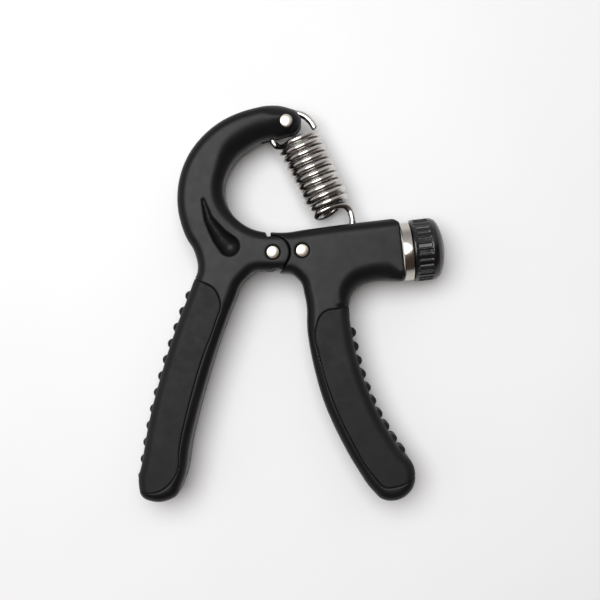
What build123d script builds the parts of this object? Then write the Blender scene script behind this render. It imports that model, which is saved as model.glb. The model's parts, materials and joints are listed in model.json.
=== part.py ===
from build123d import *
import math
import os

# Adjustable hand grip strengthener, lying flat: +X towards the knob, +Y towards the C-arm,
# +Z up through the thickness. All shapes are drawn about the pivot axis with Z = 0 in the
# middle of the thickness, and the whole set is moved onto its base at the end.

# ---------------------------------------------------------------- driving dimensions (mm)
BODY_THICKNESS = 21.0
BODY_EDGE_RADIUS = 4.2
HALF = BODY_THICKNESS / 2

# pivot between the fixed frame and the lever
EAR_RADIUS = 6.4
EAR_CLEARANCE = 0.35
TONGUE_RADIUS = 6.1
TONGUE_HALF = 4.4
TONGUE_SLOT_RADIUS = 6.6
TONGUE_SLOT_HALF = 5.0
CLOSING_LIMIT_DEG = 38.0
STOP_FACE_ANGLE = 180 + CLOSING_LIMIT_DEG + 3
STOP_FACE_DISTANCE = 7.45

# steel cross pins
PIN_RADIUS = 2.35
PIN_TOP = HALF + 0.75
PIN_TAIL = -HALF + 0.25
PIN_DOME = 0.7
PIN_SINK_RADIUS = 2.75
PIN_SINK_DEPTH = 0.7
# the scooped drop: places on the face and ball radii, from its point to its round end
DROP_CHAIN = [((-26.9, 20.3), 0.6), ((-24.7, 12.7), 1.6), ((-22.3, 8.9), 2.4),
              ((-20.0, 5.6), 3.1), ((-16.8, 2.4), 3.9)]
SPRING_PIN_NECK_RADIUS = 1.75
SPRING_PIN_XY = (5.1, 50.7)
SCREW_PIN_XY = (11.3, 0.7)
RUNNING_CLEARANCE = 0.05
BUSH_WALL = 1.0

# adjusting tube on the lever: its axis starts at the seat of the steel band
TUBE_ORIGIN = (50.3, 0.5)
TUBE_ANGLE = 6.5
TUBE_END = -0.3
CAVITY_RADIUS = 7.0
CAVITY_HALF_WIDTH = 4.6
CAVITY_TOP = 9.6
HOOK_SLOT_HALF = 2.1
FLANGE_RADIUS = 10.4
FLANGE_END = 3.6
BAND_RADIUS = 11.5
BAND_LENGTH = 3.8

# adjusting screw, knob and carriage
SCREW_RADIUS = 3.0
SCREW_PITCH = 1.0
SCREW_START = -42.4
SCREW_GROOVE_RADIUS = 2.2
SCREW_JOURNAL_RADIUS = 2.5
BUSH_START = -4.2
KNOB_START = 4.15
KNOB_RADIUS = 12.15
KNOB_FLUTES = 36
KNOB_FLUTE_DEPTH = 0.45
CAP_RADIUS = 9.6
CARRIAGE_TRAVEL = (-4.5, 11.5)
HOOK_PIN_S = -22.3
HOOK_PIN_R = 7.6
HOOK_PIN_RADIUS = 1.5
CARRIAGE_LENGTH = 13.4
CARRIAGE_START = HOOK_PIN_S + 5.5 - CARRIAGE_LENGTH
CARRIAGE_END = HOOK_PIN_S + 5.5
CARRIAGE_GAP = 0.3
CAVITY_START = CARRIAGE_START + CARRIAGE_TRAVEL[0] - 0.3
HOOK_SLOT_START = HOOK_PIN_S + CARRIAGE_TRAVEL[0] - 5.7
HOOK_SLOT_END = HOOK_PIN_S + CARRIAGE_TRAVEL[1] + 6.2

# extension spring
WIRE_RADIUS = 1.35
COIL_MEAN_RADIUS = 7.6
COIL_TAIL_RADIUS = 6.3
COIL_OFFSET = 1.2
LOOP_CENTRE = (4.7, 1.0)
LOOP_RADIUS = 8.1
COIL_FIRST = 8.4
COIL_LAST = 38.2

# rubber grips
GRIP_SKIN = 2.2
GRIP_SIDE = 3.0
NUB_RADIUS = 2.0
NUB_SINK = 0.8
NUB_LENGTH = 13.0


# ---------------------------------------------------------------- helpers
def slab(face, half):
    """Extrude a flat face by the same amount up and down from the middle plane."""
    return extrude(face, amount=half, both=True)


def rounded_slab(face, half, radius):
    """A slab whose outline edges are rounded, front and back."""
    solid = slab(face, half)
    rims = solid.faces().sort_by(Axis.Z)
    return fillet(rims[0].edges() + rims[-1].edges(), radius)


def disc(radius, centre=(0, 0)):
    return Pos(*centre) * Circle(radius)


def rod(radius, z_low, z_high, centre=(0, 0)):
    """A plain cylinder along Z between two heights."""
    middle = (z_low + z_high) / 2
    return Pos(centre[0], centre[1], middle) * Cylinder(radius, z_high - z_low)


def block(x, y, z):
    """A box from three (low, high) pairs."""
    size = [high - low for low, high in (x, y, z)]
    centre = [(high + low) / 2 for low, high in (x, y, z)]
    return Pos(*centre) * Box(*size)


def on_tube(shape):
    """Move a shape drawn along +X, with +Y up, onto the axis of the adjusting tube."""
    return Pos(TUBE_ORIGIN[0], TUBE_ORIGIN[1], 0) * Rot(0, 0, TUBE_ANGLE) * shape


def turned(*profile):
    """Revolve an outline of (s, r) corners about the tube axis."""
    face = make_face(Polyline(*profile, close=True))
    return on_tube(revolve(face, Axis.X, 360))


def tube_rod(radius, s_low, s_high):
    return turned((s_low, 0), (s_high, 0), (s_high, radius), (s_low, radius))


def tube_point(s, r):
    """The XY place of a point s along the tube axis and r above it."""
    angle = math.radians(TUBE_ANGLE)
    return (TUBE_ORIGIN[0] + s * math.cos(angle) - r * math.sin(angle),
            TUBE_ORIGIN[1] + s * math.sin(angle) + r * math.cos(angle))


# ---------------------------------------------------------------- smooth outlines
def unit(x, y):
    length = math.hypot(x, y)
    return (x / length, y / length)


def tangent_arc(start, direction, end):
    """An arc that leaves start in a direction and ends at end, or a line if that is straight."""
    dx, dy = end[0] - start[0], end[1] - start[1]
    if abs(direction[0] * dy - direction[1] * dx) < 1e-4 * math.hypot(dx, dy):
        return Line(start, end)
    return TangentArc(start, end, tangent=direction)


def two_arcs(p, p_dir, q, q_dir):
    """Two arcs from p to q that meet smoothly and keep both end directions."""
    vx, vy = q[0] - p[0], q[1] - p[1]
    along = vx * (p_dir[0] + q_dir[0]) + vy * (p_dir[1] + q_dir[1])
    spread = 2 * (1 - p_dir[0] * q_dir[0] - p_dir[1] * q_dir[1])
    span = vx * vx + vy * vy
    if spread < 1e-9:
        reach = span / (2 * along)
    else:
        reach = (math.sqrt(along * along + spread * span) - along) / spread
    joint = ((p[0] + q[0] + reach * (p_dir[0] - q_dir[0])) / 2,
             (p[1] + q[1] + reach * (p_dir[1] - q_dir[1])) / 2)
    back = (-q_dir[0], -q_dir[1])
    return [tangent_arc(p, p_dir, joint), tangent_arc(q, back, joint)]


def flow(points, first, last):
    """A smooth run of arcs through points, leaving along first and arriving along last."""
    directions = [unit(*first)]
    for before, here, after in zip(points, points[1:], points[2:]):
        ax, ay = here[0] - before[0], here[1] - before[1]
        bx, by = after[0] - here[0], after[1] - here[1]
        a_weight, b_weight = ax * ax + ay * ay, bx * bx + by * by
        directions.append(unit(ax / a_weight + bx / b_weight, ay / a_weight + by / b_weight))
    directions.append(unit(*last))
    edges = []
    for index in range(len(points) - 1):
        edges += two_arcs(points[index], directions[index], points[index + 1],
                          directions[index + 1])
    return edges


def closed_face(*pieces):
    """A face from lists of edges and polylines that follow each other round its outline."""
    edges = []
    for piece in pieces:
        edges.extend(piece if isinstance(piece, list) else piece.edges())
    return Face(Wire(edges))


# ---------------------------------------------------------------- outlines
def frame_outline():
    """C-arm, bridge and fixed handle, with a bar that runs on past the pivot."""
    arch = [(-3.0, 8.0), (-12.1, 11.4), (-17.4, 17.3), (-19.3, 25.0), (-16.4, 34.2),
            (-7.4, 42.2), (4.2, 45.7)]
    tip = [(9.0, 47.3), (10.9, 51.1), (9.3, 54.9), (5.2, 56.7)]
    outer = [(-10.0, 55.4), (-24.4, 48.0), (-34.4, 34.9), (-37.2, 20.0), (-34.4, 7.3),
             (-30.2, -0.6), (-29.2, -6.0), (-31.4, -12.6), (-37.4, -28.5), (-43.2, -46.5),
             (-47.9, -64.5), (-50.6, -80.0), (-52.1, -89.6)]
    foot = [(-50.9, -94.4), (-46.4, -96.55), (-41.2, -96.2), (-37.2, -94.0), (-35.3, -89.9)]
    inner = [(-31.4, -71.0), (-26.4, -51.9), (-20.4, -32.7), (-15.4, -19.4), (-11.6, -11.2),
             (-5.4, -7.05)]
    bar = Polyline((-5.4, -7.05), (16.0, -7.05), (16.0, 8.0), (-3.0, 8.0))
    return closed_face(flow(arch + tip + outer + foot + inner, (-1, 0.1), (1, 0.0)), bar)


def lever_outline():
    """Adjusting tube and moving handle, with a bar that runs back past the pivot."""
    tube_end = 60.0
    top = [(-1.5, 8.0), (4.2, 7.85), (13.0, 9.05), (27.0, 10.95), (44.0, 12.95)]
    sleeve = Polyline((44.0, 12.95), (tube_end, 14.85), (tube_end, -11.3), (46.5, -11.0))
    outer = [(46.5, -11.0), (39.8, -11.2), (33.2, -13.7), (29.7, -18.9), (29.6, -23.0),
             (30.9, -33.0), (33.3, -43.3), (36.9, -53.5), (41.9, -64.3), (48.1, -74.6),
             (55.0, -84.4)]
    foot = [(54.2, -91.2), (47.4, -96.1), (42.2, -95.5), (38.7, -92.3)]
    inner = [(32.3, -83.2), (25.6, -71.2), (19.9, -58.4), (16.1, -45.5), (13.6, -32.7),
             (12.4, -17.0), (10.5, -11.0), (5.4, -7.9)]
    bar = Polyline((5.4, -7.9), (-16.0, -7.9), (-16.0, 8.0), (-1.5, 8.0))
    return closed_face(flow(top, (1, -0.03), (1, 0.119)), sleeve,
                       flow(outer + foot + inner, (-1, 0.02), (-1, 0)), bar)


def frame_grip_zone():
    """Where the fixed handle is covered with rubber, open to its outer side."""
    edge = [(-36.0, -7.8), (-27.9, -11.2), (-22.5, -14.4), (-20.3, -19.4), (-22.3, -27.5),
            (-27.3, -41.0), (-32.2, -58.0), (-35.7, -73.0), (-37.9, -86.6), (-41.3, -90.5),
            (-60.0, -91.2)]
    outside = Polyline((-60.0, -91.2), (-60.0, -7.8), (-36.0, -7.8))
    return closed_face(flow(edge, (1, -0.4), (-1, 0)), outside)


def lever_grip_zone():
    """Where the moving handle is covered with rubber, open to its outer side."""
    edge = [(36.0, -20.6), (26.3, -21.5), (19.4, -23.4), (16.5, -29.4), (18.5, -42.2),
            (22.8, -56.0), (29.3, -70.4), (39.3, -86.6), (43.2, -90.4), (48.4, -90.0),
            (62.0, -77.0)]
    outside = Polyline((62.0, -77.0), (62.0, -20.6), (36.0, -20.6))
    return closed_face(flow(edge, (-1, -0.1), (0.8, 1)), outside)


def tapered_hollow(first, second):
    """The space swept by a ball that grows from one place and radius to the next."""
    start, near = first
    finish, far = second
    reach = Vector(*finish) - Vector(*start)
    lean = math.asin((far - near) / reach.length)
    rise = Vector(-math.sin(lean), math.cos(lean))
    middle = Vector(-math.sin(lean / 2 + math.pi / 4), math.cos(lean / 2 + math.pi / 4))
    end = Vector(reach.length, 0)
    outside = [
        ThreePointArc((-near, 0), middle * near, rise * near),
        Line(rise * near, end + rise * far),
        ThreePointArc(end + rise * far, end + Vector(middle.Y, -middle.X) * far, end + Vector(far, 0)),
        Line(end + Vector(far, 0), (-near, 0)),
    ]
    ball = revolve(closed_face(*outside), Axis.X, 360)
    heading = math.degrees(math.atan2(reach.Y, reach.X))
    return Pos(*start) * Rot(0, 0, heading) * ball


def drop_hollows():
    """The scooped drop in the root of the C-arm, as a chain of growing balls."""
    return [tapered_hollow(*pair) for pair in zip(DROP_CHAIN, DROP_CHAIN[1:])]


# ---------------------------------------------------------------- pivot cuts
def frame_pivot_cuts():
    """What is taken off the frame's bar: beside the ears, and the slot for the tongue."""
    beside = Polygon((-3.1, 9.4), (-2.45, 5.9), (-2.45, 0), (0, 0), (0, -12), (20, -12),
                     (20, 9.4), align=None)
    slot = disc(TONGUE_SLOT_RADIUS) + beside + Polygon((-2.8, 0), (-2.8, -12), (20, -12),
                                                       (20, 0), align=None)
    return [slab(beside - disc(EAR_RADIUS), HALF + 1), slab(slot, TONGUE_SLOT_HALF)]


def lever_pivot_cuts():
    """What is taken off the lever's bar: round the frame's ears, leaving the tongue between."""
    radius = EAR_RADIUS + EAR_CLEARANCE
    notch_x = -1.1
    start = (notch_x, math.sqrt(radius ** 2 - notch_x ** 2))
    leave = math.radians(-38)
    foot = math.radians(STOP_FACE_ANGLE - 270)
    face_start = (STOP_FACE_DISTANCE * math.cos(foot), STOP_FACE_DISTANCE * math.sin(foot))
    run = math.radians(STOP_FACE_ANGLE)
    face_end = (face_start[0] + 9 * math.cos(run), face_start[1] + 9 * math.sin(run))
    arc_end = (radius * math.cos(leave), radius * math.sin(leave))
    arc = ThreePointArc(start, (radius * math.cos(0.5), radius * math.sin(0.5)), arc_end)
    rest = Polyline(arc_end, face_start, face_end, (-20, -12), (-20, 12), (notch_x, 12), start)
    around = closed_face(arc, rest)
    tongue = disc(TONGUE_RADIUS) + Polygon((0, -TONGUE_RADIUS), (9, -TONGUE_RADIUS),
                                           (9, TONGUE_RADIUS), (0, TONGUE_RADIUS), align=None)
    ear_space = slab(around, HALF + 1) - slab(disc(30), TONGUE_HALF)
    return [slab(around - tongue, HALF + 1), ear_space]


# ---------------------------------------------------------------- pins
def domed_pin(centre, radius=PIN_RADIUS):
    """A cross pin with a low domed head in front and a flat tail just inside the back."""
    ball = (radius ** 2 + PIN_DOME ** 2) / (2 * PIN_DOME)
    dome = Pos(centre[0], centre[1], PIN_TOP - ball) * Sphere(ball)
    shank = rod(radius, PIN_TAIL, PIN_TOP - PIN_DOME, centre)
    return rod(radius, PIN_TAIL, PIN_TOP, centre) & (dome + shank)


def pin_hole(centre):
    """A through hole for a cross pin, with a shallow sink at both faces."""
    return (rod(PIN_RADIUS, -HALF - 1, HALF + 1, centre)
            + rod(PIN_SINK_RADIUS, HALF - PIN_SINK_DEPTH, HALF + 1, centre)
            + rod(PIN_SINK_RADIUS, -HALF - 1, -HALF + PIN_SINK_DEPTH, centre))


def spring_pin():
    """Pin through the arm's tip, necked down in the slot where the spring's loop sits."""
    neck = (rod(PIN_RADIUS + 1, -1.9, 1.9, SPRING_PIN_XY)
            - rod(SPRING_PIN_NECK_RADIUS, -1.9, 1.9, SPRING_PIN_XY))
    return domed_pin(SPRING_PIN_XY) - neck


# ---------------------------------------------------------------- grips
def nub(point, inwards):
    """A rounded rib across the grip, half sunk in the rubber."""
    x = point.X + inwards[0] * NUB_SINK
    y = point.Y + inwards[1] * NUB_SINK
    straight = NUB_LENGTH / 2 - NUB_RADIUS
    rib = rod(NUB_RADIUS, -straight, straight, (x, y))
    for z in (-straight, straight):
        rib += Pos(x, y, z) * Sphere(NUB_RADIUS)
    return rib


def nub_row(line, count, inwards):
    """Evenly spaced ribs along the grip's outer line."""
    return [nub(line @ (index / (count - 1)), inwards) for index in range(count)]


def grip_shell(outline, zone, shift):
    """The space of the rubber: the grip zone less the spine of the handle inside it."""
    spine = outline & Pos(*shift) * outline
    return slab(zone, HALF + 1) - slab(spine, HALF - GRIP_SKIN)


# ---------------------------------------------------------------- fixed frame body
frame_face = frame_outline()
frame_block = rounded_slab(frame_face, HALF, BODY_EDGE_RADIUS)
frame_shell = grip_shell(frame_face, frame_grip_zone(), (GRIP_SIDE, 0.9))
frame_grip = frame_block & frame_shell
frame_nub_line = ThreePointArc((-33.1, -17.0), (-44.7, -51.9), (-51.4, -87.0))
frame_core = slab(frame_face, HALF - 1) - frame_shell
frame_grip += [rib - frame_core for rib in nub_row(frame_nub_line, 12, (0.96, 0.28))]

frame_body = frame_block - frame_shell
for cut in frame_pivot_cuts():
    frame_body -= cut
slot_window = Polygon((-10, 55.3), (3, 55.3), (3, 62), (25, 62), (25, 30), (-10, 30), align=None)
frame_body -= slab(disc(12.1, SPRING_PIN_XY) & slot_window, 1.9)
frame_body -= pin_hole((0, 0))
frame_body -= pin_hole(SPRING_PIN_XY)
for side in (1, -1):
    for hollow in drop_hollows():
        frame_body -= Pos(0, 0, side * HALF) * hollow

pivot_pin = domed_pin((0, 0))
spring_anchor_pin = spring_pin()

# ---------------------------------------------------------------- lever body
lever_face = lever_outline()
lever_block = rounded_slab(lever_face, HALF, BODY_EDGE_RADIUS)
lever_shell = grip_shell(lever_face, lever_grip_zone(), (-GRIP_SIDE, 0.6))
lever_grip = lever_block & lever_shell
lever_nub_line = ThreePointArc((31.1, -31.3), (38.1, -56.0), (50.2, -77.2))
lever_core = slab(lever_face, HALF - 1) - lever_shell
lever_grip += [rib - lever_core for rib in nub_row(lever_nub_line, 10, (-0.9, 0.35))]

lever_body = lever_block - lever_shell
for cut in lever_pivot_cuts():
    lever_body -= cut

# the tube ends flat, with a round shoulder above and a small one below
shoulder = flow([(-6.0, 13.2), (-1.7, 12.5), (TUBE_END, 10.6)], (1, 0), (0.1, -1))
heel = flow([(TUBE_END, -10.2), (-2.2, -11.5)], (-0.1, -1), (-1, 0))
outside = Polyline((-2.2, -11.5), (-2.2, -25), (20, -25), (20, 25), (-6, 25), (-6, 13.2))
tube_end = Line((TUBE_END, 10.6), (TUBE_END, -10.2))
lever_body -= on_tube(slab(closed_face(shoulder, tube_end, heel, outside), HALF + 1))

# the cavity that guides the carriage, the slot for the spring's hook and the screw's bore
cavity = tube_rod(CAVITY_RADIUS, CAVITY_START, TUBE_END)
cavity += on_tube(block((CAVITY_START, TUBE_END), (0, CAVITY_TOP),
                        (-CAVITY_HALF_WIDTH, CAVITY_HALF_WIDTH)))
lever_body -= cavity
hook_slot = block((HOOK_SLOT_START, HOOK_SLOT_END), (0, 20), (-HOOK_SLOT_HALF, HOOK_SLOT_HALF))
lever_body -= on_tube(hook_slot)
lever_body -= tube_rod(SCREW_RADIUS + 0.1, SCREW_START - 0.3, CAVITY_START + 1)
lever_body -= rod(PIN_RADIUS + BUSH_WALL, -HALF, HALF)
lever_body -= pin_hole(SCREW_PIN_XY)

pivot_bush = rod(PIN_RADIUS + BUSH_WALL, -TONGUE_HALF, TONGUE_HALF)
pivot_bush -= rod(PIN_RADIUS + RUNNING_CLEARANCE, -HALF, HALF)
screw_retaining_pin = domed_pin(SCREW_PIN_XY)

pivot_washers = []
for low in (TONGUE_HALF + 0.05, -TONGUE_SLOT_HALF + 0.05):
    ring = rod(5.6, low, low + 0.5) - rod(PIN_RADIUS + RUNNING_CLEARANCE, -HALF, HALF)
    pivot_washers.append(ring)

end_band = turned((0, FLANGE_RADIUS), (BAND_LENGTH, FLANGE_RADIUS),
                  (BAND_LENGTH, BAND_RADIUS), (0, BAND_RADIUS))
end_bush = cavity & on_tube(block((BUSH_START, TUBE_END), (-20, CAVITY_TOP), (-20, 20)))
end_bush += tube_rod(FLANGE_RADIUS, TUBE_END, FLANGE_END)
end_bush += tube_rod(BAND_RADIUS - 0.3, TUBE_END, 0)
end_bush -= tube_rod(SCREW_JOURNAL_RADIUS + RUNNING_CLEARANCE, -10, 10)

# ---------------------------------------------------------------- knob body
KNOB_WEB_END = 8.2
SCREW_END = 12.0
adjusting_screw = turned(
    (SCREW_START, 0), (SCREW_END, 0), (SCREW_END, SCREW_JOURNAL_RADIUS),
    (BUSH_START - 0.2, SCREW_JOURNAL_RADIUS),
    (BUSH_START - 0.2, SCREW_RADIUS), (-36.1, SCREW_RADIUS), (-36.1, SCREW_GROOVE_RADIUS),
    (-41.2, SCREW_GROOVE_RADIUS), (-41.2, SCREW_RADIUS), (SCREW_START, SCREW_RADIUS))
KNOB_FLAT = 2.0
drive_flat = on_tube(block((KNOB_START + 0.2, SCREW_END + 1), (KNOB_FLAT, 4), (-4, 4)))
adjusting_screw -= drive_flat

knob_profile = [(KNOB_START, 3.0), (KNOB_START, 11.6), (4.7, KNOB_RADIUS),
                (11.6, KNOB_RADIUS), (13.2, 11.3), (14.1, CAP_RADIUS + 0.1),
                (12.9, CAP_RADIUS), (12.9, 8.6), (KNOB_WEB_END, 8.6), (KNOB_WEB_END, 3.0)]
knob = turned(*knob_profile)
hub = turned((KNOB_START + 0.2, 0), (KNOB_WEB_END, 0), (KNOB_WEB_END, 3.2),
             (KNOB_START + 0.2, 3.2))
hub -= tube_rod(SCREW_JOURNAL_RADIUS, 0, 20) - drive_flat
knob += hub
flute_tools = []
for index in range(KNOB_FLUTES):
    angle = 360 * index / KNOB_FLUTES
    groove = block((5.2, 11.3), (KNOB_RADIUS - KNOB_FLUTE_DEPTH, 14), (-0.55, 0.55))
    flute_tools.append(on_tube(Rot(angle, 0, 0) * groove))
knob -= flute_tools

nut_hexagon = extrude(RegularPolygon(4.6, 6), amount=3.6)
knob_nut = on_tube(Pos(KNOB_WEB_END, 0, 0) * Rot(0, 90, 0) * nut_hexagon)
knob_nut -= tube_rod(SCREW_JOURNAL_RADIUS, 0, 20) - drive_flat

CAP_START = 12.95
CAP_END = 16.8
CAP_BALL = 18.0
ball = on_tube(Pos(CAP_END - CAP_BALL, 0, 0) * Sphere(CAP_BALL))
hollow = on_tube(Pos(CAP_END - CAP_BALL - 1.5, 0, 0) * Sphere(CAP_BALL))
knob_cap = tube_rod(CAP_RADIUS - 0.05, CAP_START, CAP_END + 1) & ball
knob_cap -= tube_rod(CAP_RADIUS - 1.6, CAP_START - 1, CAP_END) & hollow

thrust_washer = turned((FLANGE_END, 2.55), (KNOB_START - 0.05, 2.55), (KNOB_START - 0.05, 5.5),
                       (FLANGE_END, 5.5))

# ---------------------------------------------------------------- carriage body
NUT_THICKNESS = 3.2
WIRE_SLOT_HALF = 1.7
WIRE_SLOT_FLOOR = 3.2
carriage = tube_rod(CAVITY_RADIUS - CARRIAGE_GAP, CARRIAGE_START, CARRIAGE_END)
upper_half = CAVITY_HALF_WIDTH - CARRIAGE_GAP
carriage += on_tube(block((CARRIAGE_START, CARRIAGE_END), (0, CAVITY_TOP - CARRIAGE_GAP),
                          (-upper_half, upper_half)))
carriage -= tube_rod(SCREW_RADIUS + 0.3, -60, 10)
carriage -= on_tube(block((CARRIAGE_START + NUT_THICKNESS, CARRIAGE_END + 1),
                          (WIRE_SLOT_FLOOR, 20), (-WIRE_SLOT_HALF, WIRE_SLOT_HALF)))
nut_block = extrude(RegularPolygon(5.77, 6), amount=NUT_THICKNESS)
nut_block = on_tube(Pos(CARRIAGE_START, 0, 0) * Rot(0, 90, 0) * nut_block)
carriage -= nut_block
hook_pin_xy = tube_point(HOOK_PIN_S, HOOK_PIN_R)
pin_half = upper_half - 0.05
hook_pin = rod(HOOK_PIN_RADIUS, -pin_half, pin_half, hook_pin_xy)
carriage -= rod(HOOK_PIN_RADIUS, -HALF, HALF, hook_pin_xy)
carriage_nut = nut_block - tube_rod(SCREW_RADIUS + RUNNING_CLEARANCE, -60, 10)


# ---------------------------------------------------------------- extension spring
def spring_solid():
    """Sleeve of the coil's own size, with a round loop above and a small hook below."""
    dx = hook_pin_xy[0] - SPRING_PIN_XY[0]
    dy = hook_pin_xy[1] - SPRING_PIN_XY[1]
    reach = math.hypot(dx, dy)
    profile = Polyline((COIL_FIRST, COIL_MEAN_RADIUS - WIRE_RADIUS),
                       (COIL_FIRST, COIL_MEAN_RADIUS + WIRE_RADIUS),
                       (COIL_LAST - 7, COIL_MEAN_RADIUS + WIRE_RADIUS),
                       (COIL_LAST, COIL_TAIL_RADIUS + WIRE_RADIUS),
                       (COIL_LAST, COIL_TAIL_RADIUS - WIRE_RADIUS),
                       (COIL_LAST - 7, COIL_MEAN_RADIUS - WIRE_RADIUS), close=True)
    body = Pos(0, COIL_OFFSET, 0) * revolve(make_face(profile), Axis.X, 360)
    loop = Pos(*LOOP_CENTRE) * Torus(LOOP_RADIUS, WIRE_RADIUS)
    loop &= block((-6, COIL_FIRST + 0.5), (-12, 14), (-3, 3))
    eye_radius = HOOK_PIN_RADIUS + WIRE_RADIUS + 0.1
    eye = Pos(reach, 0, 0) * Torus(eye_radius, WIRE_RADIUS)
    leg_path = Polyline((COIL_LAST - 0.4, 6.6), (41.5, 7.2), (reach - 1.2, eye_radius + 0.3))
    start = Plane(origin=leg_path @ 0, z_dir=leg_path % 0)
    leg = sweep(start * Circle(WIRE_RADIUS - 0.1), path=leg_path, transition=Transition.ROUND)
    shape = body + loop + eye + leg
    return Pos(*SPRING_PIN_XY) * Rot(0, 0, math.degrees(math.atan2(dy, dx))) * shape


spring = spring_solid()

# ---------------------------------------------------------------- write the parts
nodes = {
    "frame_body": frame_body,
    "frame_grip": frame_grip,
    "pivot_pin": pivot_pin,
    "pivot_washers": Compound(pivot_washers),
    "spring_anchor_pin": spring_anchor_pin,
    "lever_body": lever_body,
    "lever_grip": lever_grip,
    "pivot_bush": pivot_bush,
    "screw_retaining_pin": screw_retaining_pin,
    "end_band": end_band,
    "end_bush": end_bush,
    "thrust_washer": thrust_washer,
    "adjusting_screw": adjusting_screw,
    "knob": knob,
    "knob_nut": knob_nut,
    "knob_cap": knob_cap,
    "carriage": carriage,
    "carriage_nut": carriage_nut,
    "hook_pin": hook_pin,
    "spring": spring,
}

box = Compound([Compound(shape.solids()) for shape in nodes.values()]).bounding_box()
shift = (-(box.min.X + box.max.X) / 2, -(box.min.Y + box.max.Y) / 2, -box.min.Z)
os.makedirs("parts", exist_ok=True)
for name, shape in nodes.items():
    placed = Pos(*shift) * Compound(shape.solids())
    export_step(placed, f"parts/{name}.step")

print("size", [round(v, 3) for v in box.size])
print("pivot at", [round(v, 4) for v in shift])
print("tube seat from the pivot", TUBE_ORIGIN, "at", TUBE_ANGLE, "deg")
print("knob range in degrees", [travel / SCREW_PITCH * 360 for travel in CARRIAGE_TRAVEL])
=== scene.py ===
import json
import math
import bpy
from mathutils import Matrix, Vector
from mathutils.kdtree import KDTree


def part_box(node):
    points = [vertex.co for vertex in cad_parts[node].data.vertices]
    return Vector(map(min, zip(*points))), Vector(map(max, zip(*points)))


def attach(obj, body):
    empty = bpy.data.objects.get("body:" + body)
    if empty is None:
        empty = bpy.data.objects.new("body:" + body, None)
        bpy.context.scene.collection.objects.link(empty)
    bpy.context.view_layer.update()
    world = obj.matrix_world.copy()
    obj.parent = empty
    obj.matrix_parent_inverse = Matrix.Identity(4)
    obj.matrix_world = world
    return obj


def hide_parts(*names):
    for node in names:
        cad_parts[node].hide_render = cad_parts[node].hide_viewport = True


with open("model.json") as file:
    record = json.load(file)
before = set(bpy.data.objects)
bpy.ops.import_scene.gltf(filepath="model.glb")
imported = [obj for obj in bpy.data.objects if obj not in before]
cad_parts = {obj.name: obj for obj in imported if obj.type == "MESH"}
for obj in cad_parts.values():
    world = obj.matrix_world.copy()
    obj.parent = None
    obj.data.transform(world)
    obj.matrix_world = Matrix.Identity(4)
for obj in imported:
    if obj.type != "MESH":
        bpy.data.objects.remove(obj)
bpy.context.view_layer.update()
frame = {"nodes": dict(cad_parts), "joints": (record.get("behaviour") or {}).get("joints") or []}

MM = 0.001

# ---------------------------------------------------------------- places from the frame
JOINTS = {joint["name"]: joint for joint in frame["joints"]}
PIVOT = Vector(JOINTS["handle_squeeze"]["pos_m"])
TUBE_SEAT = Vector(JOINTS["knob_turn"]["pos_m"])
TUBE_ALONG = Vector(JOINTS["carriage_slide"]["axis"]).normalized()
UP = Vector((0, 0, 1))
TUBE_ACROSS = UP.cross(TUBE_ALONG)


def middle(node):
    low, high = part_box(node)
    return (Vector(low) + Vector(high)) / 2


def axes_matrix(x, y, z, origin):
    """The matrix that takes local X, Y, Z and the local origin to these."""
    turn = Matrix((x, y, z)).transposed().to_4x4()
    return Matrix.Translation(origin) @ turn


TUBE = axes_matrix(TUBE_ALONG, TUBE_ACROSS, UP, TUBE_SEAT)
ANCHOR = middle("spring_anchor_pin")
ANCHOR.z = PIVOT.z
HOOK = middle("hook_pin")
HOOK.z = PIVOT.z


# ---------------------------------------------------------------- materials
def material(name, **shader):
    """A new node material with a Principled shader; plain values go on its own sockets."""
    made = bpy.data.materials.new(name)
    made.use_nodes = True
    principled = made.node_tree.nodes["Principled BSDF"]
    for socket, value in shader.items():
        principled.inputs[socket.replace("_", " ")].default_value = value
    return made


def add(made, kind, **inputs):
    node = made.node_tree.nodes.new(kind)
    for socket, value in inputs.items():
        node.inputs[socket.replace("_", " ")].default_value = value
    return node


def link(made, source, output, target, socket):
    made.node_tree.links.new(source.outputs[output], target.inputs[socket])


def place(made, scale=(1, 1, 1)):
    """Object coordinates, stretched by scale."""
    coordinates = made.node_tree.nodes.new("ShaderNodeTexCoord")
    mapping = made.node_tree.nodes.new("ShaderNodeMapping")
    mapping.inputs["Scale"].default_value = scale
    link(made, coordinates, "Object", mapping, "Vector")
    return mapping


def noise(made, where, size, detail=3.0, roughness=0.55):
    """Noise whose features are about this many metres across."""
    node = add(made, "ShaderNodeTexNoise", Scale=1 / size, Detail=detail, Roughness=roughness)
    link(made, where, "Vector", node, "Vector")
    return node


def colour_between(made, source, low, high, start=0.35, stop=0.65):
    """Base colour that drifts between two colours with a pattern."""
    ramp = made.node_tree.nodes.new("ShaderNodeValToRGB")
    ramp.color_ramp.elements[0].position = start
    ramp.color_ramp.elements[1].position = stop
    ramp.color_ramp.elements[0].color = (*low, 1)
    ramp.color_ramp.elements[1].color = (*high, 1)
    link(made, source, "Fac", ramp, "Fac")
    link(made, ramp, "Color", made.node_tree.nodes["Principled BSDF"], "Base Color")


def roughness_between(made, source, low, high):
    spread = add(made, "ShaderNodeMapRange", To_Min=low, To_Max=high, From_Min=0.3, From_Max=0.7)
    link(made, source, "Fac", spread, "Value")
    link(made, spread, "Result", made.node_tree.nodes["Principled BSDF"], "Roughness")


def bumps(made, *layers):
    """Bump from (pattern, depth in metres, strength) layers, one on another."""
    normal = None
    for source, depth, strength in layers:
        bump = add(made, "ShaderNodeBump", Strength=strength, Distance=depth)
        link(made, source, "Fac", bump, "Height")
        if normal:
            link(made, normal, "Normal", bump, "Normal")
        normal = bump
    link(made, normal, "Normal", made.node_tree.nodes["Principled BSDF"], "Normal")


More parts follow.
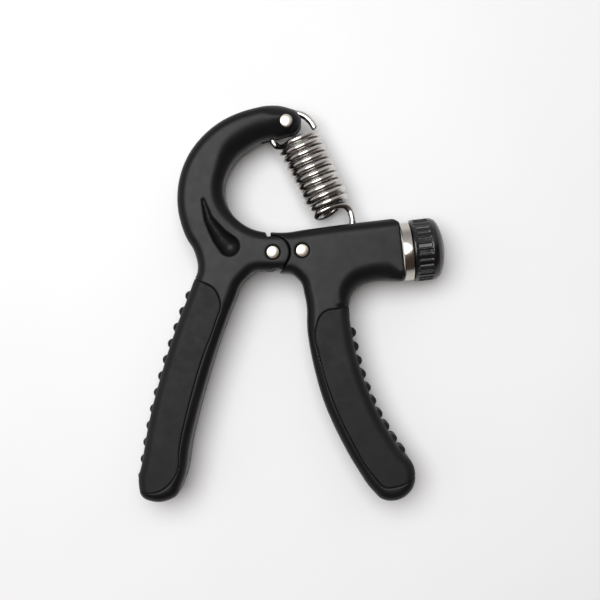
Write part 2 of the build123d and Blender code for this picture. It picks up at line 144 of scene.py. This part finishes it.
def moulded_plastic():
    """Satin black nylon: fine spark-eroded grain and slow colour drift."""
    made = material("moulded_plastic", Specular_IOR_Level=0.19, IOR=1.5)
    where = place(made)
    grain = noise(made, where, 0.00035, detail=2)
    drift = noise(made, where, 0.018)
    colour_between(made, drift, (0.0052, 0.0053, 0.0060), (0.0074, 0.0075, 0.0084))
    roughness_between(made, noise(made, where, 0.004), 0.36, 0.43)
    bumps(made, (grain, 0.00003, 0.35))
    return made


def grip_rubber():
    """Soft matt rubber with a fine pebbled skin and slow colour drift."""
    made = material("grip_rubber", Specular_IOR_Level=0.22, IOR=1.5)
    where = place(made)
    pebble = noise(made, where, 0.0004, detail=2)
    drift = noise(made, where, 0.012)
    colour_between(made, drift, (0.0050, 0.0050, 0.0053), (0.0078, 0.0078, 0.0082))
    roughness_between(made, noise(made, where, 0.003), 0.52, 0.62)
    bumps(made, (pebble, 0.00005, 0.5))
    return made


def nickel():
    """Satin nickel plate on the pins: warm, with a fine drawn-out unevenness."""
    made = material("nickel", Metallic=1.0)
    where = place(made)
    colour_between(made, noise(made, where, 0.002), (0.46, 0.42, 0.36), (0.60, 0.56, 0.49))
    roughness_between(made, noise(made, place(made, (6, 1, 1)), 0.001), 0.26, 0.40)
    bumps(made, (noise(made, where, 0.0006), 0.00002, 0.25))
    return made


def spring_wire():
    """Bright plated spring wire, slightly uneven."""
    made = material("spring_wire", Metallic=1.0)
    where = place(made)
    colour_between(made, noise(made, where, 0.004), (0.50, 0.48, 0.46), (0.66, 0.64, 0.61))
    roughness_between(made, noise(made, where, 0.0012), 0.14, 0.26)
    bumps(made, (noise(made, where, 0.0008, detail=4), 0.00003, 0.3))
    return made


def brushed_band():
    """Turned steel with fine drawn-out lines."""
    made = material("brushed_band", Metallic=1.0)
    lines = noise(made, place(made, (40, 1, 1)), 0.004, detail=6, roughness=0.7)
    colour_between(made, lines, (0.47, 0.44, 0.40), (0.62, 0.58, 0.53))
    roughness_between(made, lines, 0.13, 0.24)
    bumps(made, (lines, 0.00002, 0.4))
    return made


def knob_plastic():
    """Gloss black plastic with a slight unevenness."""
    made = material("knob_plastic", Specular_IOR_Level=0.5, IOR=1.5)
    where = place(made)
    drift = noise(made, where, 0.008)
    colour_between(made, drift, (0.0035, 0.0035, 0.004), (0.0060, 0.0060, 0.0066))
    roughness_between(made, noise(made, where, 0.0025), 0.20, 0.30)
    bumps(made, (noise(made, where, 0.0007), 0.00003, 0.25))
    return made


def cap_plastic():
    """Dark grey plastic dome, half matt."""
    made = material("cap_plastic", Specular_IOR_Level=0.5, IOR=1.5)
    where = place(made)
    colour_between(made, noise(made, where, 0.006), (0.014, 0.014, 0.013), (0.021, 0.021, 0.019))
    roughness_between(made, noise(made, where, 0.002), 0.30, 0.42)
    bumps(made, (noise(made, where, 0.0005), 0.00003, 0.3))
    return made


def plain_steel():
    """Zinc-grey steel for the screw, the carriage and the knob's nut."""
    made = material("zinc_steel", Metallic=1.0)
    where = place(made)
    colour_between(made, noise(made, where, 0.003), (0.42, 0.42, 0.42), (0.56, 0.56, 0.55))
    roughness_between(made, noise(made, where, 0.001), 0.25, 0.42)
    bumps(made, (noise(made, where, 0.0006), 0.00002, 0.3))
    return made


def brass():
    """Plain brass for the pivot's bush and the carriage's nut."""
    made = material("brass", Metallic=1.0)
    where = place(made)
    colour_between(made, noise(made, where, 0.003), (0.56, 0.39, 0.16), (0.72, 0.53, 0.25))
    roughness_between(made, noise(made, where, 0.001), 0.22, 0.38)
    bumps(made, (noise(made, where, 0.0006), 0.00002, 0.3))
    return made


def nylon():
    """Natural nylon for the washers and the tube's bush."""
    made = material("natural_nylon", Specular_IOR_Level=0.4)
    where = place(made)
    colour_between(made, noise(made, where, 0.003), (0.50, 0.48, 0.42), (0.62, 0.60, 0.54))
    roughness_between(made, noise(made, where, 0.001), 0.40, 0.55)
    bumps(made, (noise(made, where, 0.0005), 0.00003, 0.3))
    return made


PLASTIC = moulded_plastic()
RUBBER = grip_rubber()
NICKEL = nickel()
WIRE = spring_wire()
BAND = brushed_band()
KNOB = knob_plastic()
CAP = cap_plastic()
STEEL = plain_steel()
BRASS = brass()
NYLON = nylon()


# ---------------------------------------------------------------- mesh helpers
def new_piece(name, mesh, finish, body, record_slot, *stands_for):
    """Link a mesh as a piece of a body, with its material and the CAD nodes it stands for."""
    piece = bpy.data.objects.new(name, mesh)
    bpy.context.scene.collection.objects.link(piece)
    mesh.materials.clear()
    mesh.materials.append(finish)
    mesh.polygons.foreach_set("use_smooth", [True] * len(mesh.polygons))
    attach(piece, body)
    if stands_for:
        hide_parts(*stands_for)
    return piece


def baked(source, modifiers):
    """The mesh of an object after a list of (type, settings) modifiers."""
    worker = bpy.data.objects.new("worker", source)
    bpy.context.scene.collection.objects.link(worker)
    for kind, settings in modifiers:
        modifier = worker.modifiers.new(kind, kind)
        for key, value in settings.items():
            setattr(modifier, key, value)
    graph = bpy.context.evaluated_depsgraph_get()
    mesh = bpy.data.meshes.new_from_object(worker.evaluated_get(graph))
    bpy.data.objects.remove(worker)
    return mesh


# how far above the middle the outer walls are taken for rolled_edges, and how closely
WALL_LEVEL = 6.0 * MM
WALL_SLICE = 0.3 * MM
UPRIGHT = 0.3


def rolled_edges(mesh, radius_at):
    """Roll the front and back edges over more widely. radius_at(place, outward) gives a wall's
    edge radius, or None where the edge stays as it is."""
    half = max(vertex.co.z for vertex in mesh.vertices) - PIVOT.z
    walls = []
    for vertex in mesh.vertices:
        height = vertex.co.z - PIVOT.z
        if abs(height - WALL_LEVEL) < WALL_SLICE and abs(vertex.normal.z) < UPRIGHT:
            radius = radius_at(vertex.co, vertex.normal)
            if radius:
                walls.append((Vector((vertex.co.x, vertex.co.y, 0)), radius))
    tree = KDTree(len(walls))
    for index, (place_at, radius) in enumerate(walls):
        tree.insert(place_at, index)
    tree.balance()
    for vertex in mesh.vertices:
        height = vertex.co.z - PIVOT.z
        _, index, distance = tree.find(Vector((vertex.co.x, vertex.co.y, 0)))
        radius = walls[index][1]
        if distance < radius:
            limit = half - radius + math.sqrt(radius ** 2 - (radius - distance) ** 2)
            if abs(height) > limit:
                vertex.co.z = PIVOT.z + math.copysign(limit, height)


def softened(node, name, finish, body, record_slot, voxel, *rolls):
    """A CAD node made again as a fine even mesh, its edges rolled by rolls and then smoothed."""
    copy = frame["nodes"][node].data.copy()
    mesh = baked(copy, [
        ("WELD", {"merge_threshold": 0.00001}),
        ("REMESH", {"mode": "VOXEL", "voxel_size": voxel, "adaptivity": 0.0}),
    ])
    for radius_at in rolls:
        rolled_edges(mesh, radius_at)
    mesh = baked(mesh, [("SMOOTH", {"factor": 0.5, "iterations": SMOOTH_PASSES})])
    return new_piece(name, mesh, finish, body, record_slot, node)


def blend_between(value, start, stop):
    """0 below start, 1 above stop and a smooth rise between."""
    t = min(1, max(0, (value - start) / (stop - start)))
    return t * t * (3 - 2 * t)


def ring_mesh(profile, steps, matrix, radius_at=None, closed=True):
    """A mesh from (s, r) points turned about local X. A closed one joins its last row to its first,
    an open one starts and ends on the axis. radius_at may reshape each radius."""
    vertices = []
    for s, r in profile:
        for step in range(steps):
            angle = 2 * math.pi * step / steps
            radius = radius_at(s, r, angle) if radius_at else r
            local = Vector((s, radius * math.cos(angle), radius * math.sin(angle)))
            vertices.append(matrix @ local)
    rows = len(profile)
    faces = []
    for row in range(rows if closed else rows - 1):
        for step in range(steps):
            a = row * steps
            b = (row + 1) % rows * steps
            after = (step + 1) % steps
            faces.append((a + step, b + step, b + after, a + after))
    if not closed:
        faces.append(tuple(range(steps)))
        faces.append(tuple(reversed(range((rows - 1) * steps, rows * steps))))
    mesh = bpy.data.meshes.new("turned")
    mesh.from_pydata(vertices, [], faces)
    mesh.validate()
    mesh.update()
    return mesh


def eased(points, radius, steps=4):
    """A closed (s, r) outline with each corner rounded by about radius."""
    rounded = []
    count = len(points)
    for index, here in enumerate(points):
        here = Vector(here)
        before = Vector(points[index - 1])
        after = Vector(points[(index + 1) % count])
        reach = min(radius, (before - here).length / 2.1, (after - here).length / 2.1)
        start = here + (before - here).normalized() * reach
        end = here + (after - here).normalized() * reach
        for step in range(steps + 1):
            t = step / steps
            rounded.append(start * (1 - t) ** 2 + here * 2 * t * (1 - t) + end * t * t)
    return [tuple(point) for point in rounded]


def filled(points, gap):
    """Points added along the long runs of an outline, so that it can be reshaped."""
    dense = []
    for index, here in enumerate(points):
        after = points[(index + 1) % len(points)]
        count = max(1, math.ceil(math.dist(here, after) / gap))
        for step in range(count):
            t = step / count
            dense.append((here[0] + (after[0] - here[0]) * t, here[1] + (after[1] - here[1]) * t))
    return dense


def in_metres(points):
    return [(s * MM, r * MM) for s, r in points]


# ---------------------------------------------------------------- moulded bodies and grips
# edge radii in millimetres: everywhere, and how much wider at each place
EDGE = 4.2
ARM_EXTRA = 1.3
ARM_EXTRA_ENDS = (195, 235)
ARCH_EXTRA = 3.2
ARCH_EXTRA_ENDS = (115, 165)
ARM_LOWEST = 8 * MM
TIP_EXTRA = 2.2
TIP_ROUND = (7.5, 12)
TUBE_EXTRA = 3.6
TUBE_RUN = (-26, -0.5)
TUBE_FADE = -7
TURNED_TO = 0.1
PIN_HOLE = 3.5 * MM
BODY_VOXEL = 0.35 * MM
GRIP_VOXEL = 0.3 * MM
SMOOTH_PASSES = 4
C_CENTRE = PIVOT + Vector((-4.8, 25.6, 0)) * MM


def c_arm_edge(place_at, outward):
    """Edge radius inside the C, wider towards its tip."""
    spoke = place_at - C_CENTRE
    spoke.z = 0
    facing = -outward.dot(spoke.normalized())
    hole = (place_at - ANCHOR).xy.length < PIN_HOLE
    if facing < TURNED_TO or hole or place_at.y < PIVOT.y + ARM_LOWEST:
        return None
    turned = math.degrees(math.atan2(spoke.y, spoke.x)) % 360
    wider = ARM_EXTRA * (1 - blend_between(turned, *ARM_EXTRA_ENDS))
    wider += ARCH_EXTRA * (1 - blend_between(turned, *ARCH_EXTRA_ENDS))
    return (EDGE + wider * blend_between(facing, TURNED_TO, 0.8)) * MM


def c_tip_edge(place_at, outward):
    """Edge radius round the C's tip, which is a low dome about its pin."""
    away = (place_at - ANCHOR).xy.length
    if not PIN_HOLE < away < TIP_ROUND[1] * MM:
        return None
    return (EDGE + TIP_EXTRA * (1 - blend_between(away / MM, *TIP_ROUND))) * MM


PAD_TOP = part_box("lever_grip")[1].y


def tube_edge(place_at, outward):
    """Edge radius on the tube's near side, easing out round the bend and before the band."""
    offset = place_at - TUBE_SEAT
    along = offset.dot(TUBE_ALONG) / MM
    facing = -outward.dot(TUBE_ACROSS)
    if place_at.y < PAD_TOP or facing < TURNED_TO or not TUBE_RUN[0] < along < TUBE_RUN[1]:
        return None
    eased_out = blend_between(facing, TURNED_TO, 0.95)
    eased_out *= 1 - blend_between(along, TUBE_FADE, TUBE_RUN[1])
    return (EDGE + TUBE_EXTRA * eased_out) * MM


softened("frame_body", "c_arm_and_handle", PLASTIC, "frame", "body_plastic", BODY_VOXEL,
         c_arm_edge, c_tip_edge)
softened("lever_body", "lever_and_tube", PLASTIC, "lever", "body_plastic", BODY_VOXEL, tube_edge)
softened("frame_grip", "c_arm_grip", RUBBER, "frame", "grip_rubber", GRIP_VOXEL)
softened("lever_grip", "lever_grip_pad", RUBBER, "lever", "grip_rubber", GRIP_VOXEL)


# ---------------------------------------------------------------- cross pins
PIN_DOME = 0.38 * MM
PIN_CHAMFER = 0.3 * MM
ON_AXIS = 0.05
NECK_HALF = 1.9 * MM


def pin_piece(node, name, body, neck_radius=None):
    """A cross pin: a low dome in front, a chamfered tail behind and, if asked, a necked middle."""
    low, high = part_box(node)
    centre = (low + high) / 2
    radius = (high.x - low.x) / 2
    top = high.z
    ball = (radius ** 2 + PIN_DOME ** 2) / (2 * PIN_DOME)
    outline = [(low.z, ON_AXIS * MM), (low.z, radius - PIN_CHAMFER), (low.z + PIN_CHAMFER, radius)]
    if neck_radius:
        outline += [(PIVOT.z - NECK_HALF, radius), (PIVOT.z - NECK_HALF, neck_radius),
                    (PIVOT.z + NECK_HALF, neck_radius), (PIVOT.z + NECK_HALF, radius)]
    outline.append((top - PIN_DOME - 0.1 * MM, radius))
    for step in range(15):
        r = radius * math.cos(math.pi / 2 * step / 15)
        outline.append((top - ball + math.sqrt(ball ** 2 - r ** 2), r))
    upright = axes_matrix(UP, Vector((1, 0, 0)), Vector((0, 1, 0)), Vector((centre.x, centre.y, 0)))
    mesh = ring_mesh(outline, 64, upright, closed=False)
    new_piece(name, mesh, NICKEL, body, "pin_steel", node)


pin_piece("pivot_pin", "pivot_rivet", "frame")
pin_piece("spring_anchor_pin", "spring_anchor_rivet", "frame", neck_radius=1.75 * MM)
pin_piece("screw_retaining_pin", "screw_retaining_rivet", "lever")

# ---------------------------------------------------------------- band, knob, cap and screw
band_outline = eased([(0, 10.4), (3.8, 10.4), (3.8, 11.5), (0, 11.5)], 0.35)
band_mesh = ring_mesh(in_metres(band_outline), 144, TUBE)
new_piece("steel_band", band_mesh, BAND, "lever", "band_steel", "end_band")

FLUTES = 32
FLUTE_DEPTH = 0.4 * MM
FLUTE_START = 5.0 * MM
FLUTE_STOP = 11.4 * MM
FLUTE_RUNOUT = 0.7 * MM
FLUTED_BEYOND = 11 * MM


def fluted(s, r, angle):
    """The knob's radius with wide round-ended flutes between narrow ribs."""
    if r < FLUTED_BEYOND:
        return r
    rib = (math.cos(angle * FLUTES) * 0.5 + 0.5) ** 6
    end = min(s - FLUTE_START, FLUTE_STOP - s) / FLUTE_RUNOUT
    return r - FLUTE_DEPTH * (1 - rib) * blend_between(end, 0, 1)


knob_outline = eased([(4.15, 3.3), (4.15, 12.15), (12.0, 12.15), (13.5, 11.5), (14.9, 9.8),
                      (12.9, 9.6), (12.9, 8.6), (8.2, 8.6), (8.2, 3.3)], 0.5)
knob_mesh = ring_mesh(filled(in_metres(knob_outline), 0.3 * MM), FLUTES * 16, TUBE, fluted)
new_piece("fluted_knob", knob_mesh, KNOB, "knob", "knob_plastic", "knob")

CAP_BALL = 24.0
CAP_TOP = 16.8
CAP_RADIUS = 9.5
CAP_STEPS = 24
cap_outline = [(12.95, ON_AXIS), (12.95, 9.35), (13.1, CAP_RADIUS), (14.6, CAP_RADIUS)]
for step in range(1, CAP_STEPS):
    r = CAP_RADIUS * math.cos(math.pi / 2 * step / CAP_STEPS)
    cap_outline.append((CAP_TOP - CAP_BALL + math.sqrt(CAP_BALL ** 2 - r ** 2), r))
cap_mesh = ring_mesh(in_metres(cap_outline), 96, TUBE, closed=False)
new_piece("knob_dome", cap_mesh, CAP, "knob", "cap_plastic", "knob_cap")

SCREW_INNER_END = -42.4
SCREW_OUTER_END = 12.0
SCREW_OUTLINE = [(SCREW_INNER_END, ON_AXIS), (SCREW_INNER_END, 2.6), (-42.0, 3.0), (-41.2, 3.0),
                 (-41.2, 2.2), (-36.1, 2.2), (-36.1, 3.0), (-4.4, 3.0), (-4.4, 2.5),
                 (SCREW_OUTER_END, 2.5), (SCREW_OUTER_END, ON_AXIS)]
SCREW_GAP = 0.125
THREAD_PITCH = 1.0 * MM
THREAD_DEPTH = 0.6 * MM
THREADED_BEYOND = 2.9 * MM
THREAD_START = -36 * MM


def threaded(s, r, angle):
    """The screw's radius with a right-hand thread cut in its full-size length."""
    if r < THREADED_BEYOND or s < THREAD_START:
        return r
    turn = s / THREAD_PITCH - angle / (2 * math.pi)
    return r - THREAD_DEPTH * abs(2 * (turn - math.floor(turn)) - 1)


screw_profile = filled(in_metres(SCREW_OUTLINE), SCREW_GAP * MM)
# the run back along the axis is dropped, since an open mesh ends there
screw_profile = screw_profile[:-math.ceil((SCREW_OUTER_END - SCREW_INNER_END) / SCREW_GAP)]
screw_mesh = ring_mesh(screw_profile, 32, TUBE, threaded, closed=False)
new_piece("tension_screw", screw_mesh, STEEL, "knob", "screw_steel", "adjusting_screw")

# ---------------------------------------------------------------- extension spring
WIRE_RADIUS = 1.35 * MM
COIL_OFFSET = 1.25
COIL_RADIUS = 7.6
TAIL_RADIUS = 6.4
TAIL_TURN = 7.6
COIL_START = 8.7
COIL_PITCH = 2.99
FIRST_TURN = -0.318
LAST_TURN = 8.92
COIL_SLACK = (COIL_PITCH * MM - 2 * WIRE_RADIUS) * (LAST_TURN - FIRST_TURN)
REACH = (HOOK - ANCHOR).length
SPRING_DOWN = (HOOK - ANCHOR).normalized()
SPRING = axes_matrix(UP.cross(SPRING_DOWN), UP, SPRING_DOWN, ANCHOR)

# Each end is a list of places in millimetres: across the spring, up, and along its axis.
UPPER_LOOP = [(9.35, 0, 5.9), (9.1, 0, 3.2), (7.9, 0, 0.2), (5.0, 0, -2.6), (0.6, 0, -3.7),
              (-4.0, 0, -2.6), (-6.9, 0, 0.6), (-7.7, 0, 3.8), (-7.4, 0, 5.5),
              (-6.6, 0.9, 7.0), (-4.9, 3.6, 8.0)]
EYE = REACH / MM
LOWER_HOOK = [(7.7, 0, 35.6), (5.6, -4.6, 36.9), (1.2, -6.3, 38.3), (-3.4, -4.6, 38.4),
              (-5.2, -0.8, 37.5), (-3.6, 2.4, 36.9), (0.2, 3.0, 36.9), (3.9, 2.0, 37.5),
              (6.6, 0.7, 38.9), (7.5, 0, 41.2), (7.2, 0, 43.6), (6.5, 0, EYE - 4.6),
              (4.7, 0, EYE - 1.9), (3.0, 0, EYE + 0.6), (1.7, 0, EYE + 2.5), (0, 0, EYE + 3.0),
              (-2.1, 0, EYE + 2.1), (-3.0, 0, EYE), (-2.4, 0, EYE - 1.8)]


def coil_points():
    """Places along the left-hand coil, which narrows over its last turns."""
    points = []
    steps = 360
    for step in range(steps + 1):
        turn = FIRST_TURN + (LAST_TURN - FIRST_TURN) * step / steps
        narrowing = blend_between(turn, TAIL_TURN, LAST_TURN)
        radius = COIL_RADIUS + (TAIL_RADIUS - COIL_RADIUS) * narrowing
        angle = -2 * math.pi * turn
        points.append((COIL_OFFSET + radius * math.cos(angle), radius * math.sin(angle),
                       COIL_START + COIL_PITCH * turn))
    return points


def smooth_run(points, steps):
    """Points on a smooth line through the given ones."""
    dense = []
    for index in range(len(points) - 1):
        a = Vector(points[max(index - 1, 0)])
        b = Vector(points[index])
        c = Vector(points[index + 1])
        d = Vector(points[min(index + 2, len(points) - 1)])
        start = (c - a) / 2
        end = (d - b) / 2
        for step in range(steps):
            t = step / steps
            dense.append(b * (2 * t ** 3 - 3 * t ** 2 + 1) + start * (t ** 3 - 2 * t ** 2 + t)
                         + c * (-2 * t ** 3 + 3 * t ** 2) + end * (t ** 3 - t ** 2))
    dense.append(Vector(points[-1]))
    return dense


def wire_mesh(line, shares, radius, sides=18):
    """A round wire along a line, with domed ends; each ring keeps its share of the stretch."""
    vertices = []
    stretch = []
    side = Vector((0, 1, 0))
    rings = []
    for index, point in enumerate(line):
        ahead = line[min(index + 1, len(line) - 1)] - line[max(index - 1, 0)]
        ahead.normalize()
        side = (side - ahead * side.dot(ahead)).normalized()
        rings.append((point, ahead, side.copy(), 1.0, shares[index]))
    caps = [(0.30, 0.95), (0.62, 0.78), (0.80, 0.6), (0.95, 0.3), (1.0, 0.02)]
    head, tail = rings[0], rings[-1]
    front = [(head[0] - head[1] * radius * out * 0.6, head[1], head[2], size, head[4])
             for out, size in reversed(caps)]
    back = [(tail[0] + tail[1] * radius * out * 0.6, tail[1], tail[2], size, tail[4])
            for out, size in caps]
    for centre, ahead, up, size, share in front + rings + back:
        out = ahead.cross(up)
        for step in range(sides):
            angle = 2 * math.pi * step / sides
            spoke = up * math.cos(angle) + out * math.sin(angle)
            vertices.append(centre + spoke * radius * size)
            stretch.append(share)
    faces = []
    count = len(front) + len(rings) + len(back)
    for row in range(count - 1):
        for step in range(sides):
            after = (step + 1) % sides
            a = row * sides
            b = a + sides
            faces.append((a + step, a + after, b + after, b + step))
    faces.append(tuple(reversed(range(sides))))
    faces.append(tuple(range((count - 1) * sides, count * sides)))
    mesh = bpy.data.meshes.new("spring_wire")
    mesh.from_pydata(vertices, [], faces)
    attribute = mesh.attributes.new("stretch", "FLOAT", "POINT")
    attribute.data.foreach_set("value", stretch)
    mesh.update()
    return mesh


def follow_nodes(target):
    """Geometry nodes that stretch the coil to the target's distance along local Z. When the hooks
    come closer than the closed coil is long, the whole spring slips back along its axis instead."""
    group = bpy.data.node_groups.new("spring_follows_hook", "GeometryNodeTree")
    group.interface.new_socket("Geometry", in_out="INPUT", socket_type="NodeSocketGeometry")
    group.interface.new_socket("Geometry", in_out="OUTPUT", socket_type="NodeSocketGeometry")
    nodes = group.nodes
    join = group.links.new

    def maths(operation, first, second):
        node = nodes.new("ShaderNodeMath")
        node.operation = operation
        for socket, value in zip(node.inputs, (first, second)):
            if isinstance(value, (int, float)):
                socket.default_value = value
            else:
                join(value, socket)
        return node.outputs[0]

    start = nodes.new("NodeGroupInput")
    end = nodes.new("NodeGroupOutput")
    seen = nodes.new("GeometryNodeObjectInfo")
    seen.transform_space = "RELATIVE"
    seen.inputs["Object"].default_value = target
    parts = nodes.new("ShaderNodeSeparateXYZ")
    join(seen.outputs["Location"], parts.inputs[0])
    change = maths("SUBTRACT", parts.outputs["Z"], REACH)
    in_coil = maths("MAXIMUM", change, -COIL_SLACK)
    slip = maths("SUBTRACT", change, in_coil)
    share = nodes.new("GeometryNodeInputNamedAttribute")
    share.data_type = "FLOAT"
    share.inputs["Name"].default_value = "stretch"
    offset = maths("ADD", maths("MULTIPLY", in_coil, share.outputs["Attribute"]), slip)
    vector = nodes.new("ShaderNodeCombineXYZ")
    join(offset, vector.inputs["Z"])
    move = nodes.new("GeometryNodeSetPosition")
    join(start.outputs[0], move.inputs["Geometry"])
    join(vector.outputs[0], move.inputs["Offset"])
    join(move.outputs[0], end.inputs[0])
    return group


# The coil takes this share of the stretch. The rest lengthens the straight wire above the lower
# hook, between these shares of the lower end. A real hook keeps its length: this stands in for it
# so that the last turn sinks less far into the tube when the handles close.
COIL_SHARE = 0.84
WIRE_GROWS = (0.38, 0.74)
RUN_STEPS = 10


def build_spring():
    coil = coil_points()
    upper = smooth_run(UPPER_LOOP + coil[:1], RUN_STEPS)[:-1]
    lower = smooth_run(coil[-1:] + LOWER_HOOK, RUN_STEPS)[1:]
    line = [Vector(point) * MM for point in upper + [Vector(p) for p in coil] + lower]
    shares = [0.0] * len(upper)
    shares += [COIL_SHARE * index / (len(coil) - 1) for index in range(len(coil))]
    shares += [COIL_SHARE + (1 - COIL_SHARE) * blend_between(index / len(lower), *WIRE_GROWS)
               for index in range(len(lower))]
    mesh = wire_mesh(line, shares, WIRE_RADIUS)
    spring = bpy.data.objects.new("extension_spring", mesh)
    bpy.context.scene.collection.objects.link(spring)
    spring.matrix_world = SPRING
    mesh.materials.append(WIRE)
    mesh.polygons.foreach_set("use_smooth", [True] * len(mesh.polygons))
    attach(spring, "frame")
    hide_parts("spring")
    eye = bpy.data.objects.new("hook_eye", None)
    bpy.context.scene.collection.objects.link(eye)
    eye.location = HOOK
    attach(eye, "carriage")
    aim = spring.constraints.new("DAMPED_TRACK")
    aim.target = eye
    aim.track_axis = "TRACK_Z"
    follow = spring.modifiers.new("follow_hook", "NODES")
    follow.node_group = follow_nodes(eye)


build_spring()

# ---------------------------------------------------------------- finishes on the CAD nodes
KEPT = {"pivot_washers": NYLON, "pivot_bush": BRASS, "end_bush": NYLON, "thrust_washer": NYLON,
        "knob_nut": STEEL, "carriage": STEEL, "carriage_nut": BRASS, "hook_pin": NICKEL}
for node, finish in KEPT.items():
    for holder in frame["nodes"][node].material_slots:
        holder.material = finish


# ---------------------------------------------------------------- table, light and camera
def table_top():
    made = material("white_table", Roughness=0.55)
    where = place(made)
    colour_between(made, noise(made, where, 0.15), (0.805, 0.805, 0.81), (0.83, 0.83, 0.835))
    size = 3.0
    mesh = bpy.data.meshes.new("table_top")
    mesh.from_pydata([(-size, -size, 0), (size, -size, 0), (size, size, 0), (-size, size, 0)],
                     [], [(0, 1, 2, 3)])
    top = bpy.data.objects.new("table_top", mesh)
    mesh.materials.append(made)
    bpy.context.scene.collection.objects.link(top)


def softbox(name, place_at, size, power):
    light = bpy.data.lights.new(name, "AREA")
    light.shape = "DISK"
    light.size = size
    light.energy = power
    lamp = bpy.data.objects.new(name, light)
    bpy.context.scene.collection.objects.link(lamp)
    lamp.location = place_at
    lamp.rotation_euler = (Vector(PIVOT) - Vector(place_at)).to_track_quat("-Z", "Y").to_euler()


def room_light():
    """A soft white tent on the TENT_SIDE of the table. The other side is dim and warm, with a pale
    strip just above the floor all round."""
    world = bpy.data.worlds.new("studio")
    bpy.context.scene.world = world
    world.use_nodes = True
    nodes = world.node_tree.nodes
    links = world.node_tree.links
    where = nodes.new("ShaderNodeTexCoord")
    facing = nodes.new("ShaderNodeVectorMath")
    facing.operation = "DOT_PRODUCT"
    facing.inputs[1].default_value = TENT_SIDE
    links.new(where.outputs["Generated"], facing.inputs[0])
    shift = nodes.new("ShaderNodeMapRange")
    shift.inputs["From Min"].default_value = -1
    links.new(facing.outputs["Value"], shift.inputs["Value"])
    ramp = nodes.new("ShaderNodeValToRGB")
    ramp.color_ramp.elements[0].position = TENT_STOPS[0][0]
    ramp.color_ramp.elements[0].color = TENT_STOPS[0][1]
    ramp.color_ramp.elements[1].position = TENT_STOPS[-1][0]
    ramp.color_ramp.elements[1].color = TENT_STOPS[-1][1]
    for position, colour in TENT_STOPS[1:-1]:
        ramp.color_ramp.elements.new(position).color = colour
    links.new(shift.outputs["Result"], ramp.inputs["Fac"])
    height = nodes.new("ShaderNodeSeparateXYZ")
    links.new(where.outputs["Generated"], height.inputs["Vector"])
    above = nodes.new("ShaderNodeMapRange")
    above.inputs["From Min"].default_value = SKIRTING[0]
    above.inputs["From Max"].default_value = SKIRTING[1]
    links.new(height.outputs["Z"], above.inputs["Value"])
    walls = nodes.new("ShaderNodeMix")
    walls.data_type = "RGBA"
    walls.inputs[6].default_value = SKIRTING_COLOUR
    links.new(above.outputs["Result"], walls.inputs["Factor"])
    links.new(ramp.outputs["Color"], walls.inputs[7])
    links.new(walls.outputs[2], nodes["Background"].inputs["Color"])
    nodes["Background"].inputs["Strength"].default_value = TENT_STRENGTH


# The tent's colour, from the side away from TENT_SIDE round to TENT_SIDE itself.
TENT_SIDE = (-0.42, 0.907, 0)
TENT_STOPS = [(0.05, (0.10, 0.075, 0.06, 1)), (0.455, (0.15, 0.095, 0.07, 1)),
              (0.53, (0.95, 0.95, 0.96, 1)), (0.75, (0.95, 0.95, 0.96, 1)),
              (1.0, (0.60, 0.60, 0.61, 1))]
TENT_STRENGTH = 0.62
# A pale strip runs all round just above the floor, up to these heights (sines of the angle).
SKIRTING = (0.10, 0.17)
SKIRTING_COLOUR = (0.95, 0.95, 0.96, 1)

table_top()
room_light()
softbox("overhead", (-0.16, 0.16, 0.86), 0.72, 7.7)

CAMERA_HEIGHT = 0.42
VIEW_WIDTH = 0.2364
VIEW_CENTRE = Vector((10.42, -18.34, 0)) * MM
SENSOR = 36
camera = bpy.data.cameras.new("camera")
camera.sensor_width = SENSOR
camera.lens = SENSOR * CAMERA_HEIGHT / VIEW_WIDTH
viewer = bpy.data.objects.new("camera", camera)
bpy.context.scene.collection.objects.link(viewer)
viewer.location = PIVOT + VIEW_CENTRE + UP * CAMERA_HEIGHT
bpy.context.scene.camera = viewer
bpy.context.scene.view_settings.view_transform = "Standard"
